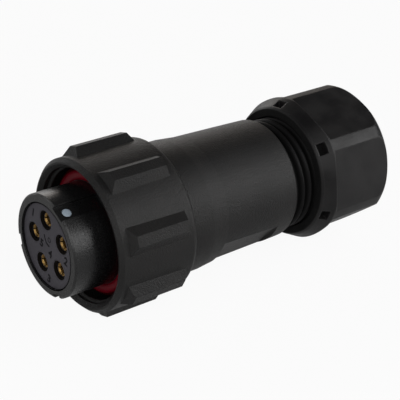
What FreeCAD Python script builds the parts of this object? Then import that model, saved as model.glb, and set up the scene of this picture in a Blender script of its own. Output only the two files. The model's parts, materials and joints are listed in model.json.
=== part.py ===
import FreeCAD, Part

import math
import os
import re

import Sketcher

# An inline cable connector with five socket contacts, in millimetres.
# The connector's axis is X. The mating face of the barrel is at X = 0 and the cable leaves towards +X.
# Angles about the axis are counted from +Z by the right-hand rule about +X.

# Driving dimensions

SIZES = {
    # Shell
    "barrel_radius": 9.5,
    "barrel_wall": 1.65,
    "barrel_bevel": 0.3,
    "flange_front": 11.4,
    "flange_thick": 2.2,
    "flange_height": 1.4,
    "journal_step": 1.1,
    "spigot_step": 0.25,
    "spigot_length": 10.2,
    "insert_ledge": 0.95,
    "key_angle": 25.3,
    "key_width": 3.1,
    "key_depth": 0.8,
    "key_end_gap": 0.6,
    "side_key_angle": 133,
    "side_key_width": 2.1,
    # Contacts and insulators
    "insert_recess": 0.4,
    "insert_step": 9.6,
    "front_cavity": 6.2,
    "rear_insulator_thick": 5.0,
    "grommet_thick": 6.2,
    "lock_ring_thick": 1.8,
    "lock_ring_wall": 1.4,
    "contact_count": 5,
    "contact_edge": 3.15,
    "contact_radius": 1.3,
    "contact_bore": 0.8,
    "contact_bore_depth": 7.5,
    "contact_flare": 0.2,
    "contact_flare_length": 0.25,
    "contact_nose_bevel": 0.15,
    "contact_recess": 0.65,
    "contact_fingers": 4,
    "contact_slot": 0.25,
    "contact_slot_depth": 4.6,
    "contact_collar": 0.5,
    "contact_collar_thick": 1.0,
    "contact_tail": 3.72,
    "crimp_bore": 0.85,
    "crimp_depth": 5.5,
    "countersink": 0.6,
    "countersink_depth": 0.5,
    # Seal and coupling ring
    "seal_thick": 2.1,
    "seal_land": 0.25,
    "seal_gap": 0.6,
    "seal_edge": 0.84,
    "ring_front": 6.1,
    "ring_length": 16.2,
    "ring_wall": 1.7,
    "ring_draft": 0.25,
    "ring_bevel": 0.7,
    "ring_rear_edge": 1.05,
    "flange_gap": 0.5,
    "slip_ring_thick": 0.9,
    "ring_shoulder": 3.8,
    "recess_wall": 1.3,
    "rib_count": 8,
    "rib_angle": 25.4,
    "rib_base_width": 4.5,
    "rib_top_width": 2,
    "rib_rise": 1.5,
    "rib_front_gap": 1.9,
    "rib_rear_gap": 2.2,
    "rib_front_slope": 0.9,
    "rib_rear_slope": 0.5,
    "snap_ring_thick": 1.0,
    "snap_groove_depth": 0.7,
    "snap_ring_width": 1.6,
    "snap_ring_gap": 3.4,
    "snap_ear_radius": 0.9,
    "snap_ear_sink": 0.2,
    "snap_ear_hole": 0.4,
    # Rear housing
    "housing_gap": 0.35,
    "collar_gap": 0.5,
    "collar_length": 7.6,
    "collar_bevel": 0.3,
    "collar_draft": 0.1,
    "collar_step": 0.45,
    "collar_slope": 3.5,
    "body_length": 17.15,
    "body_draft": 0.5,
    "body_wall": 2.5,
    "body_edge": 0.4,
    "flat_angle": 130.5,
    "flat_depth": 1.05,
    "flat_length": 13.5,
    "flat_overlap": 0.3,
    "flat_slope": 0.5,
    "gasket_size": 0.9,
    "gasket_length": 2.1,
    "thread_step": 1.5,
    "thread_height": 0.75,
    "thread_gap": 0.2,
    "thread_length": 11.1,
    "thread_bevel": 0.5,
    "thread_wall": 1.0,
    "seat_ledge": 1.8,
    "seat_offset": 1.3,
    "seal_seat_thick": 2.0,
    # Gland
    "nut_gap": 5.2,
    "nut_length": 18.35,
    "nut_side_wall": 3.15,
    "nut_flat_depth": 1.4,
    "nut_flat_ramp": 0.9,
    "nut_flat_count": 6,
    "nut_corner_angle": 49,
    "nut_collar": 2.6,
    "nut_bevel": 3.05,
    "nut_bevel_rise": 1.3,
    "nut_mouth_edge": 0.45,
    "nut_thread_length": 11.1,
    "nut_ledge": 1.45,
    "nut_end_wall": 2.6,
    "nut_rear_edge": 3.6,
    "nut_lip": 3.1,
    "nut_hole_edge": 0.8,
    "notch_width": 2.3,
    "notch_length": 1.7,
    "notch_depth": 1.9,
    "notch_offset": 0.6,
    "washer_thick": 0.8,
    "cage_base": 2.3,
    "finger_length": 8.0,
    "finger_wall": 1.3,
    "finger_lead": 0.8,
    "finger_flare": 0.5,
    "finger_taper": 0.3,
    "finger_slot": 1.2,
    "finger_count": 8,
    "cable_seal_wall": 2.5,
    "cable_seal_rim": 2.2,
    "cable_seal_length": 9.8,
    # Fits
    "fixed_gap": 0.05,
    "running_gap": 0.05,
    "free_gap": 0.3,
    "cut_margin": 1.0,
}

# Positions worked out from the driving dimensions

DERIVED = {
    # Places along the axis
    "seal_front": "flange_front - seal_thick",
    "flange_rear": "flange_front + flange_thick",
    "shoulder_front": "flange_rear + slip_ring_thick + fixed_gap",
    "shoulder_rear": "shoulder_front + ring_shoulder",
    "groove_front": "shoulder_rear + running_gap",
    "groove_rear": "groove_front + snap_ring_thick + fixed_gap",
    "shell_rear": "groove_rear + spigot_length",
    "front_insulator_rear": "insert_step + front_cavity",
    "rear_insulator_rear": "front_insulator_rear + rear_insulator_thick",
    "grommet_rear": "rear_insulator_rear + grommet_thick",
    "lock_ring_rear": "grommet_rear + lock_ring_thick",
    "contact_front": "insert_recess + contact_recess",
    "contact_rear": "rear_insulator_rear + contact_tail",
    "collar_rear": "insert_step + contact_collar_thick",
    "ring_rear": "ring_front + ring_length",
    "rib_front": "ring_front + rib_front_gap",
    "rib_rear": "ring_rear - rib_rear_gap",
    "housing_front": "groove_rear + housing_gap",
    "collar_end": "housing_front + collar_length",
    "body_front": "collar_end + collar_slope",
    "body_rear": "body_front + body_length",
    "flat_front": "body_front - flat_overlap",
    "gasket_rear": "housing_front + gasket_length",
    "thread_rear": "body_rear + thread_length",
    "seat_front": "body_rear + seat_offset",
    "seat_rear": "seat_front + seal_seat_thick",
    "cable_seal_rear": "seat_rear + cable_seal_length",
    "nut_front": "body_rear + nut_gap",
    "nut_rear": "nut_front + nut_length",
    "notch_front": "nut_front + notch_offset",
    "nut_shoulder": "nut_front + nut_thread_length",
    "nut_wall": "nut_rear - nut_end_wall",
    "washer_rear": "nut_wall - running_gap",
    "cage_rear": "washer_rear - washer_thick",
    "cage_front": "cage_rear - cage_base",
    "finger_front": "cage_front - finger_length",
    # Radii, each from the piece that it fits in or round
    "land_radius": "barrel_radius + seal_land",
    "barrel_bore": "barrel_radius - barrel_wall",
    "insert_bore": "barrel_bore + insert_ledge",
    "contact_circle": "barrel_bore - contact_edge",
    "contact_hole": "contact_radius + 2 * fixed_gap",
    "contact_cavity": "contact_radius + contact_collar + 2 * fixed_gap",
    "journal_radius": "barrel_radius + journal_step",
    "spigot_radius": "journal_radius - spigot_step",
    "groove_bottom": "journal_radius - snap_groove_depth",
    "flange_radius": "journal_radius + flange_height",
    "mouth_radius": "flange_radius + flange_gap",
    "ring_radius": "mouth_radius + ring_wall",
    "ring_rear_radius": "ring_radius + ring_draft",
    "rib_top": "ring_radius + rib_rise",
    "recess_radius": "ring_rear_radius - recess_wall",
    "collar_radius": "recess_radius - collar_gap",
    "body_radius": "collar_radius - collar_step",
    "body_rear_radius": "body_radius - body_draft",
    "flat_radius": "body_radius - flat_depth",
    "thread_root": "body_rear_radius - thread_step",
    "gland_bore": "thread_root - thread_wall",
    "seal_seat": "gland_bore - seat_ledge",
    "finger_outer": "gland_bore - free_gap",
    "finger_inner": "finger_outer - finger_wall",
    "seal_sleeve": "finger_inner - free_gap",
    "cable_seal_bore": "seal_sleeve - cable_seal_wall",
    "nut_thread_bore": "thread_root + thread_height + thread_gap",
    "nut_radius": "nut_thread_bore + nut_side_wall",
    "nut_flat_radius": "nut_radius - nut_flat_depth",
    "nut_cavity": "nut_thread_bore - nut_ledge",
    "nut_hole": "nut_cavity - nut_lip",
}

FULL_TURN = 360
WORD = re.compile(r"[a-z][a-z_]+")
FUNCTIONS = ("cos", "sin", "deg")

doc = FreeCAD.newDocument("Connector")
sheet = doc.addObject("Spreadsheet::Sheet", "Sizes")
for row, (alias, number) in enumerate(SIZES.items(), start=1):
    sheet.set(f"A{row}", alias)
    sheet.set(f"B{row}", str(number))
    sheet.setAlias(f"B{row}", alias)
doc.recompute()


# Expressions

def expand(text):
    """Turns a formula of plain names into one that reads the sheet."""

    def swap(match):
        word = match.group(0)
        if word in FUNCTIONS:
            return word
        if word in DERIVED:
            return f"({expand(DERIVED[word])})"
        return f"Sizes.{word}"

    return WORD.sub(swap, str(text))


def value(text):
    """The number that a formula gives with the sheet as it is."""
    return float(sheet.evalExpression(expand(text)))


def bind(thing, prop, text):
    """Ties one property of an object to a formula."""
    thing.setExpression(prop, expand(text))


# Sketches

def origin_feature(body, role):
    """One of the body's own origin planes or axes."""
    return next(item for item in body.Origin.OriginFeatures if item.Role == role)


def new_sketch(body, name, plane, offset=None, turn=None, tilt=None):
    """An empty sketch on one of the body's planes, moved along its normal, turned about it or tilted about X."""
    sketch = body.newObject("Sketcher::SketchObject", name)
    sketch.AttachmentSupport = [(origin_feature(body, plane), "")]
    sketch.MapMode = "FlatFace"
    if offset is not None:
        bind(sketch, ".AttachmentOffset.Base.z", offset)
    if turn is not None:
        sketch.AttachmentOffset = FreeCAD.Placement(
            FreeCAD.Vector(), FreeCAD.Rotation(FreeCAD.Vector(0, 0, 1), value(turn)))
        bind(sketch, ".AttachmentOffset.Rotation.Angle", turn)
    if tilt is not None:
        sketch.AttachmentOffset = FreeCAD.Placement(
            FreeCAD.Vector(), FreeCAD.Rotation(FreeCAD.Vector(1, 0, 0), value(tilt)))
        bind(sketch, ".AttachmentOffset.Rotation.Angle", tilt)
    return sketch


def pin_point(sketch, geometry, end, across, along):
    """Holds one end of a line at a place given by two formulas."""
    for kind, axis, text in (("DistanceX", -2, across), ("DistanceY", -1, along)):
        number = value(text)
        if abs(number) < 1e-9:
            sketch.addConstraint(Sketcher.Constraint("PointOnObject", geometry, end, axis))
            continue
        index = sketch.addConstraint(Sketcher.Constraint(kind, -1, 1, geometry, end, number))
        bind(sketch, f"Constraints[{index}]", text)


def add_outline(sketch, corners):
    """A closed outline of straight lines with a corner at each pair of formulas."""
    places = [FreeCAD.Vector(value(x), value(y), 0) for x, y in corners]
    first = sketch.GeometryCount
    for start, end in zip(places, places[1:] + places[:1]):
        sketch.addGeometry(Part.LineSegment(start, end), False)
    count = len(corners)
    for step in range(count):
        following = first + (step + 1) % count
        sketch.addConstraint(Sketcher.Constraint("Coincident", first + step, 2, following, 1))
    for step, (x, y) in enumerate(corners):
        pin_point(sketch, first + step, 1, x, y)


def add_circle(sketch, x, y, radius):
    """A circle whose centre and radius are formulas."""
    centre = FreeCAD.Vector(value(x), value(y), 0)
    circle = sketch.addGeometry(Part.Circle(centre, FreeCAD.Vector(0, 0, 1), value(radius)), False)
    pin_point(sketch, circle, 3, x, y)
    index = sketch.addConstraint(Sketcher.Constraint("Radius", circle, value(radius)))
    bind(sketch, f"Constraints[{index}]", radius)


def add_axis(sketch, height, end):
    """A construction line along X at a height, for turning about."""
    line = Part.LineSegment(
        FreeCAD.Vector(0, value(height), 0), FreeCAD.Vector(value(end), value(height), 0))
    index = sketch.addGeometry(line, True)
    pin_point(sketch, index, 1, "0", height)
    pin_point(sketch, index, 2, end, height)


# Features

def new_body(label):
    """An empty sub-part."""
    body = doc.addObject("PartDesign::Body", label)
    body.Label = label
    return body


def turned(body, name, corners, kind="Revolution", height=None, end="1"):
    """A profile turned about the connector's axis, or about a line above it."""
    sketch = new_sketch(body, f"{name}_sketch", "XZ_Plane")
    if height is not None:
        add_axis(sketch, height, end)
    add_outline(sketch, corners)
    feature = body.newObject(f"PartDesign::{kind}", name)
    feature.Profile = sketch
    feature.ReferenceAxis = (sketch, ["H_Axis" if height is None else "Axis0"])
    feature.Angle = FULL_TURN
    sketch.Visibility = False
    doc.recompute()
    return feature


def patterned(body, name, features, count, span=FULL_TURN):
    """Features repeated about the connector's axis."""
    pattern = body.newObject("PartDesign::PolarPattern", name)
    pattern.Originals = features
    pattern.Axis = (origin_feature(body, "X_Axis"), [""])
    pattern.Angle = span
    bind(pattern, "Occurrences", count)
    body.Tip = pattern
    doc.recompute()
    return pattern


def cut_through(body, name, sketch):
    """A pocket through everything, both ways from its sketch."""
    pocket = body.newObject("PartDesign::Pocket", name)
    pocket.Profile = sketch
    pocket.SideType = "Symmetric"
    pocket.Type = "ThroughAll"
    sketch.Visibility = False
    doc.recompute()
    return pocket


def extruded(body, name, sketch, length, kind="Pad", reverse=False):
    """A pad or a pocket of a given length."""
    feature = body.newObject(f"PartDesign::{kind}", name)
    feature.Profile = sketch
    feature.Type = "Length"
    feature.Reversed = reverse
    bind(feature, "Length", length)
    sketch.Visibility = False
    doc.recompute()
    return feature


def rounded(body, name, base, radius, x, at):
    """A fillet on the circular edges of a feature at a place on the axis and a radius."""
    edges = []
    for number, edge in enumerate(base.Shape.Edges, start=1):
        curve = edge.Curve
        if not isinstance(curve, Part.Circle):
            continue
        same_place = abs(curve.Center.x - value(x)) < 1e-4
        if same_place and abs(curve.Radius - value(at)) < 1e-4:
            edges.append(f"Edge{number}")
    fillet = body.newObject("PartDesign::Fillet", name)
    fillet.Base = (base, edges)
    bind(fillet, "Radius", radius)
    body.Tip = fillet
    doc.recompute()
    return fillet


def turn_body(body, angle):
    """Turns a whole sub-part about the connector's axis."""
    body.Placement = FreeCAD.Placement(
        FreeCAD.Vector(), FreeCAD.Rotation(FreeCAD.Vector(1, 0, 0), value(angle)))
    bind(body, ".Placement.Rotation.Angle", angle)


def tube(label, front, rear, inner, outer):
    """A plain ring between two places on the axis."""
    body = new_body(label)
    turned(body, f"{label}_ring", [(front, inner), (rear, inner), (rear, outer), (front, outer)])
    return body


# Shell

def plug_shell():
    """Keyed barrel, flange, journal, snap ring groove and rear spigot in one moulding."""
    body = new_body("plug_shell")
    turned(body, "shell_profile", [
        ("0", "barrel_bore"),
        ("0", "barrel_radius - barrel_bevel"),
        ("barrel_bevel", "barrel_radius"),
        ("seal_front", "barrel_radius"),
        ("seal_front", "land_radius"),
        ("flange_front", "land_radius"),
        ("flange_front", "flange_radius"),
        ("flange_rear", "flange_radius"),
        ("flange_rear", "journal_radius"),
        ("groove_front", "journal_radius"),
        ("groove_front", "groove_bottom"),
        ("groove_rear", "groove_bottom"),
        ("groove_rear", "spigot_radius"),
        ("shell_rear", "spigot_radius"),
        ("shell_rear", "insert_bore"),
        ("insert_step", "insert_bore"),
        ("insert_step", "barrel_bore"),
    ])
    keys = (
        ("main_key", "0", "key_width"),
        ("left_key", "side_key_angle", "side_key_width"),
        ("right_key", "0 - side_key_angle", "side_key_width"),
    )
    for name, turn, width in keys:
        sketch = new_sketch(body, f"{name}_sketch", "YZ_Plane", turn=turn)
        add_outline(sketch, [
            (f"0 - {width} / 2", "barrel_radius - key_depth"),
            (f"{width} / 2", "barrel_radius - key_depth"),
            (f"{width} / 2", "barrel_radius + cut_margin"),
            (f"0 - {width} / 2", "barrel_radius + cut_margin"),
        ])
        extruded(body, name, sketch, "seal_front - key_end_gap", "Pocket", reverse=True)
    turn_body(body, "key_angle")
    return body


# Insulators and contacts

def contact_holes(body, name, profile):
    """The same turned cut at each contact place."""
    corners = [(x, f"contact_circle + {radius}") for x, radius in profile]
    front, rear = profile[0][0], profile[-1][0]
    corners += [(rear, "contact_circle"), (front, "contact_circle")]
    hole = turned(body, name, corners, "Groove", "contact_circle", "shell_rear")
    patterned(body, f"{name}_circle", [hole], "contact_count")
    turn_body(body, "key_angle + 180 / contact_count")


def front_insulator():
    """Front disc with countersunk holes that widen into cavities for the contact collars."""
    body = new_body("front_insulator")
    small, large = "barrel_bore - fixed_gap", "insert_bore - fixed_gap"
    turned(body, "front_disc", [
        ("insert_recess", "0"),
        ("insert_recess", small),
        ("insert_step", small),
        ("insert_step", large),
        ("front_insulator_rear", large),
        ("front_insulator_rear", "0"),
    ])
    contact_holes(body, "front_hole", [
        ("insert_recess", "contact_hole + countersink"),
        ("insert_recess + countersink_depth", "contact_hole"),
        ("insert_step", "contact_hole"),
        ("insert_step", "contact_cavity"),
        ("front_insulator_rear", "contact_cavity"),
    ])
    return body


def plain_disc(label, front, rear, hole):
    """A disc in the shell's rear bore with one plain hole for each contact."""
    body = new_body(label)
    outer = "insert_bore - fixed_gap"
    turned(body, f"{label}_disc", [(front, "0"), (front, outer), (rear, outer), (rear, "0")])
    contact_holes(body, f"{label}_hole", [(front, hole), (rear, hole)])
    return body


def place_on_circle(body, number):
    """Moves a sub-part made on the axis to its contact place."""
    angle = f"(key_angle + {FULL_TURN} / contact_count * ({number} - 1.5)) * 1 deg"
    bind(body, ".Placement.Base.y", f"0 - contact_circle * sin({angle})")
    bind(body, ".Placement.Base.z", f"contact_circle * cos({angle})")


def socket_contact(number):
    """Turned contact: slotted socket, locating collar and crimp barrel."""
    body = new_body(f"socket_contact_{number}")
    turned(body, f"contact_profile_{number}", [
        ("contact_front + contact_bore_depth", "0"),
        ("contact_front + contact_bore_depth", "contact_bore"),
        ("contact_front + contact_flare_length", "contact_bore"),
        ("contact_front", "contact_bore + contact_flare"),
        ("contact_front", "contact_radius - contact_nose_bevel"),
        ("contact_front + contact_nose_bevel", "contact_radius"),
        ("insert_step", "contact_radius"),
        ("insert_step", "contact_radius + contact_collar"),
        ("collar_rear", "contact_radius + contact_collar"),
        ("collar_rear", "contact_radius"),
        ("contact_rear", "contact_radius"),
        ("contact_rear", "crimp_bore"),
        ("contact_rear - crimp_depth", "crimp_bore"),
        ("contact_rear - crimp_depth", "0"),
    ])
    sketch = new_sketch(body, f"slot_sketch_{number}", "XZ_Plane")
    half = "contact_slot / 2"
    slot_end = "contact_front + contact_slot_depth"
    add_outline(sketch, [
        ("contact_front - cut_margin", f"0 - {half}"),
        (slot_end, f"0 - {half}"),
        (slot_end, half),
        ("contact_front - cut_margin", half),
    ])
    slot = cut_through(body, f"slot_{number}", sketch)
    patterned(body, f"slots_{number}", [slot], "contact_fingers")
    place_on_circle(body, number)
    return body


def contact_clip(number):
    """Split sleeve between a contact's collar and the rear insulator."""
    inner, outer = "contact_radius + fixed_gap", "contact_cavity - fixed_gap"
    body = tube(f"contact_clip_{number}", "collar_rear", "front_insulator_rear", inner, outer)
    sketch = new_sketch(body, f"split_sketch_{number}", "XY_Plane")
    add_outline(sketch, [
        ("collar_rear - cut_margin", "0 - contact_slot"),
        ("front_insulator_rear + cut_margin", "0 - contact_slot"),
        ("front_insulator_rear + cut_margin", "contact_slot"),
        ("collar_rear - cut_margin", "contact_slot"),
    ])
    extruded(body, f"split_{number}", sketch, "contact_cavity + cut_margin", "Pocket", reverse=True)
    place_on_circle(body, number)
    return body


# Seal and coupling ring

def interface_seal():
    """Soft ring with a rounded front edge on the root of the barrel."""
    outer = "mouth_radius - seal_gap"
    body = tube("interface_seal", "seal_front", "flange_front", "land_radius", outer)
    base = body.Tip
    rounded(body, "seal_round", base, "seal_edge", "seal_front", outer)
    return body


def coupling_ring():
    """Ribbed ring with an inner shoulder that bears on the shell's journal."""
    body = new_body("coupling_ring")
    profile = turned(body, "ring_profile", [
        ("ring_front", "mouth_radius + ring_bevel"),
        ("ring_front", "ring_radius - ring_bevel"),
        ("ring_front + ring_bevel", "ring_radius"),
        ("ring_rear", "ring_rear_radius"),
        ("ring_rear", "recess_radius"),
        ("shoulder_rear", "recess_radius"),
        ("shoulder_rear", "journal_radius + running_gap"),
        ("shoulder_front", "journal_radius + running_gap"),
        ("shoulder_front", "mouth_radius"),
        ("ring_front + ring_bevel", "mouth_radius"),
    ])
    rounded(body, "ring_round", profile, "ring_rear_edge", "ring_rear", "ring_rear_radius")
    foot = new_sketch(body, "rib_foot_sketch", "XY_Plane", offset="ring_radius - rib_rise")
    spread = "rib_base_width / 2 + rib_rise"
    add_outline(foot, [
        ("rib_front - rib_front_slope", f"0 - ({spread})"),
        ("rib_rear + rib_rear_slope", f"0 - ({spread})"),
        ("rib_rear + rib_rear_slope", spread),
        ("rib_front - rib_front_slope", spread),
    ])
    top = new_sketch(body, "rib_top_sketch", "XY_Plane", offset="rib_top")
    add_outline(top, [
        ("rib_front + rib_front_slope", "0 - rib_top_width / 2"),
        ("rib_rear - rib_rear_slope", "0 - rib_top_width / 2"),
        ("rib_rear - rib_rear_slope", "rib_top_width / 2"),
        ("rib_front + rib_front_slope", "rib_top_width / 2"),
    ])
    rib = body.newObject("PartDesign::AdditiveLoft", "rib")
    rib.Profile = foot
    rib.Sections = [top]
    rib.Ruled = True
    foot.Visibility = False
    top.Visibility = False
    doc.recompute()
    patterned(body, "ribs", [rib], "rib_count")
    turn_body(body, "rib_angle")
    return body


def retaining_ring():
    """Open snap ring with two ears, seated in the shell's groove."""
    inner = "groove_bottom + fixed_gap"
    outer = "groove_bottom + snap_ring_width"
    front, rear = "groove_front", "groove_front + snap_ring_thick"
    body = tube("retaining_ring", front, rear, inner, outer)
    gap = new_sketch(body, "snap_gap_sketch", "YZ_Plane", offset=front)
    add_outline(gap, [
        ("0 - snap_ring_gap / 2", "0"),
        ("snap_ring_gap / 2", "0"),
        ("snap_ring_gap / 2", "flange_radius + cut_margin"),
        ("0 - snap_ring_gap / 2", "flange_radius + cut_margin"),
    ])
    extruded(body, "snap_gap", gap, "snap_ring_thick", "Pocket", reverse=True)
    height = f"{outer} - snap_ear_sink"
    for name, side in (("left", "0 - "), ("right", "")):
        ear = new_sketch(body, f"{name}_ear_sketch", "YZ_Plane", offset=front)
        place = f"{side}(snap_ring_gap / 2 + snap_ear_radius)"
        add_circle(ear, place, height, "snap_ear_radius")
        add_circle(ear, place, height, "snap_ear_hole")
        extruded(body, f"{name}_ear", ear, "snap_ring_thick")
    return body


# Rear housing

def rear_housing():
    """Drafted tube with a collar, two wrench flats and the gland's male thread at its root size."""
    body = new_body("rear_housing")
    bore = "spigot_radius + fixed_gap"
    profile = turned(body, "housing_profile", [
        ("housing_front", bore + " + gasket_size"),
        ("housing_front", "collar_radius - collar_bevel"),
        ("housing_front + collar_bevel", "collar_radius"),
        ("collar_end", "collar_radius - collar_draft"),
        ("body_front", "body_radius"),
        ("body_rear", "body_rear_radius"),
        ("body_rear", "thread_root"),
        ("thread_rear - thread_bevel", "thread_root"),
        ("thread_rear", "thread_root - thread_bevel"),
        ("thread_rear", "gland_bore"),
        ("seat_rear", "gland_bore"),
        ("seat_rear", "seal_seat"),
        ("seat_front", "seal_seat"),
        ("seat_front", "body_radius - body_wall"),
        ("shell_rear", "body_radius - body_wall"),
        ("shell_rear", bore),
        ("gasket_rear", bore),
        ("gasket_rear", bore + " + gasket_size"),
    ])
    rounded(body, "housing_round", profile, "body_edge", "body_rear", "body_rear_radius")
    for name, side in (("near_flat", ""), ("far_flat", "0 - ")):
        sketch = new_sketch(body, f"{name}_sketch", "XZ_Plane")
        add_outline(sketch, [
            ("flat_front", f"{side}flat_radius"),
            ("flat_front + flat_length", f"{side}flat_radius"),
            ("flat_front + flat_length + flat_slope", f"{side}(collar_radius + cut_margin)"),
            ("flat_front - flat_slope", f"{side}(collar_radius + cut_margin)"),
        ])
        cut_through(body, name, sketch)
    turn_body(body, "flat_angle")
    return body


# Gland

def cable_seal():
    """Rubber sleeve with a rim that sits on the housing's seat."""
    body = new_body("cable_seal")
    turned(body, "cable_seal_profile", [
        ("seat_rear", "cable_seal_bore"),
        ("seat_rear", "gland_bore - fixed_gap"),
        ("seat_rear + cable_seal_rim", "gland_bore - fixed_gap"),
        ("seat_rear + cable_seal_rim", "seal_sleeve"),
        ("cable_seal_rear", "seal_sleeve"),
        ("cable_seal_rear", "cable_seal_bore"),
    ])
    return body


def clamp_cage():
    """Ring of fingers that reach forward round the seal."""
    body = new_body("clamp_cage")
    turned(body, "cage_profile", [
        ("finger_front", "finger_inner + finger_flare"),
        ("finger_front", "finger_outer - finger_taper"),
        ("finger_front + finger_lead", "finger_outer"),
        ("cage_front", "finger_outer"),
        ("cage_front", "nut_cavity - free_gap"),
        ("cage_rear", "nut_cavity - free_gap"),
        ("cage_rear", "finger_inner"),
        ("finger_front + finger_lead", "finger_inner"),
    ])
    sketch = new_sketch(body, "finger_slot_sketch", "XY_Plane")
    half = "finger_slot / 2"
    add_outline(sketch, [
        ("finger_front - cut_margin", f"0 - {half}"),
        ("cage_front", f"0 - {half}"),
        ("cage_front", half),
        ("finger_front - cut_margin", half),
    ])
    slot = extruded(body, "finger_slot_cut", sketch, "gland_bore + cut_margin", "Pocket", reverse=True)
    patterned(body, "fingers", [slot], "finger_count")
    return body


def gland_nut():
    """Screwed cap with six flats, a notched collar and a rounded rear edge."""
    body = new_body("gland_nut")
    profile = turned(body, "nut_profile", [
        ("nut_front", "nut_thread_bore"),
        ("nut_front", "nut_radius - nut_bevel_rise - nut_mouth_edge"),
        ("nut_front + nut_mouth_edge", "nut_radius - nut_bevel_rise"),
        ("nut_front + nut_bevel", "nut_radius"),
        ("nut_rear", "nut_radius"),
        ("nut_rear", "nut_hole"),
        ("nut_wall", "nut_hole"),
        ("nut_wall", "nut_cavity"),
        ("nut_shoulder", "nut_cavity"),
        ("nut_shoulder", "nut_thread_bore"),
    ])
    outside = rounded(body, "nut_rear_round", profile, "nut_rear_edge", "nut_rear", "nut_radius")
    rounded(body, "nut_hole_round", outside, "nut_hole_edge", "nut_rear", "nut_hole")
    flat = new_sketch(body, "nut_flat_sketch", "XZ_Plane", tilt="180 / nut_flat_count")
    add_outline(flat, [
        ("nut_front + nut_collar + nut_flat_ramp", "nut_flat_radius"),
        ("nut_rear + cut_margin", "nut_flat_radius"),
        ("nut_rear + cut_margin", "nut_radius + cut_margin"),
        ("nut_front + nut_collar - nut_flat_ramp * cut_margin / nut_flat_depth", "nut_radius + cut_margin"),
    ])
    flat_cut = cut_through(body, "nut_flat", flat)
    patterned(body, "nut_flats", [flat_cut], "nut_flat_count")
    notch = new_sketch(body, "notch_sketch", "XY_Plane", offset="nut_radius - notch_depth")
    add_outline(notch, [
        ("notch_front", "0 - notch_width / 2"),
        ("notch_front + notch_length", "0 - notch_width / 2"),
        ("notch_front + notch_length", "notch_width / 2"),
        ("notch_front", "notch_width / 2"),
    ])
    notch_cut = extruded(body, "notch", notch, "notch_depth + cut_margin", "Pocket", reverse=True)
    patterned(body, "notches", [notch_cut], "nut_flat_count")
    turn_body(body, "nut_corner_angle")
    return body


# Whole connector

def build():
    """Makes every sub-part and returns them in order from the mating face."""
    parts = [plug_shell(), front_insulator()]
    contacts = range(1, int(value("contact_count")) + 1)
    parts += [socket_contact(number) for number in contacts]
    parts += [contact_clip(number) for number in contacts]
    parts.append(plain_disc("rear_insulator", "front_insulator_rear", "rear_insulator_rear", "contact_hole"))
    parts.append(plain_disc("wire_grommet", "rear_insulator_rear", "grommet_rear", "contact_hole"))
    lock_outer = "insert_bore - fixed_gap"
    lock_inner = "insert_bore - lock_ring_wall"
    parts.append(tube("insert_lock_ring", "grommet_rear", "lock_ring_rear", lock_inner, lock_outer))
    parts += [interface_seal(), coupling_ring()]
    slip_inner, slip_outer = "journal_radius + fixed_gap", "flange_radius - fixed_gap"
    slip_rear = "flange_rear + slip_ring_thick"
    parts.append(tube("slip_ring", "flange_rear", slip_rear, slip_inner, slip_outer))
    parts += [retaining_ring(), rear_housing()]
    gasket_outer = "spigot_radius + gasket_size"
    parts.append(tube("housing_gasket", "housing_front", "gasket_rear", "spigot_radius", gasket_outer))
    parts += [cable_seal(), clamp_cage()]
    washer_outer = "nut_cavity - free_gap"
    parts.append(tube("thrust_washer", "cage_rear", "washer_rear", "finger_inner", washer_outer))
    parts.append(gland_nut())
    return parts


def check_and_write(parts):
    """Stops on a failed feature or a bad solid, and writes one file for each sub-part."""
    doc.recompute()
    for item in doc.Objects:
        if "Invalid" in item.State or "Error" in item.State:
            raise RuntimeError(f"{item.Label} failed: {item.State}")
    os.makedirs("parts", exist_ok=True)
    for part in parts:
        shape = part.Shape
        if shape.isNull() or not shape.isValid() or len(shape.Solids) != 1:
            raise RuntimeError(f"{part.Label} isn't one valid solid")
        box = shape.BoundBox
        print(f"{part.Label:20s} volume {shape.Volume:9.2f}  X {box.XMin:7.2f} to {box.XMax:7.2f}")
        shape.exportStep(f"parts/{part.Label}.step")


check_and_write(build())
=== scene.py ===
"""Looks of a black inline socket connector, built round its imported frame."""

from __future__ import annotations

import json
import logging
import math
from dataclasses import dataclass
from enum import Enum
from typing import Any, Callable, Iterable, Sequence

import bmesh
import bpy
from mathutils import Matrix, Vector

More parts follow.
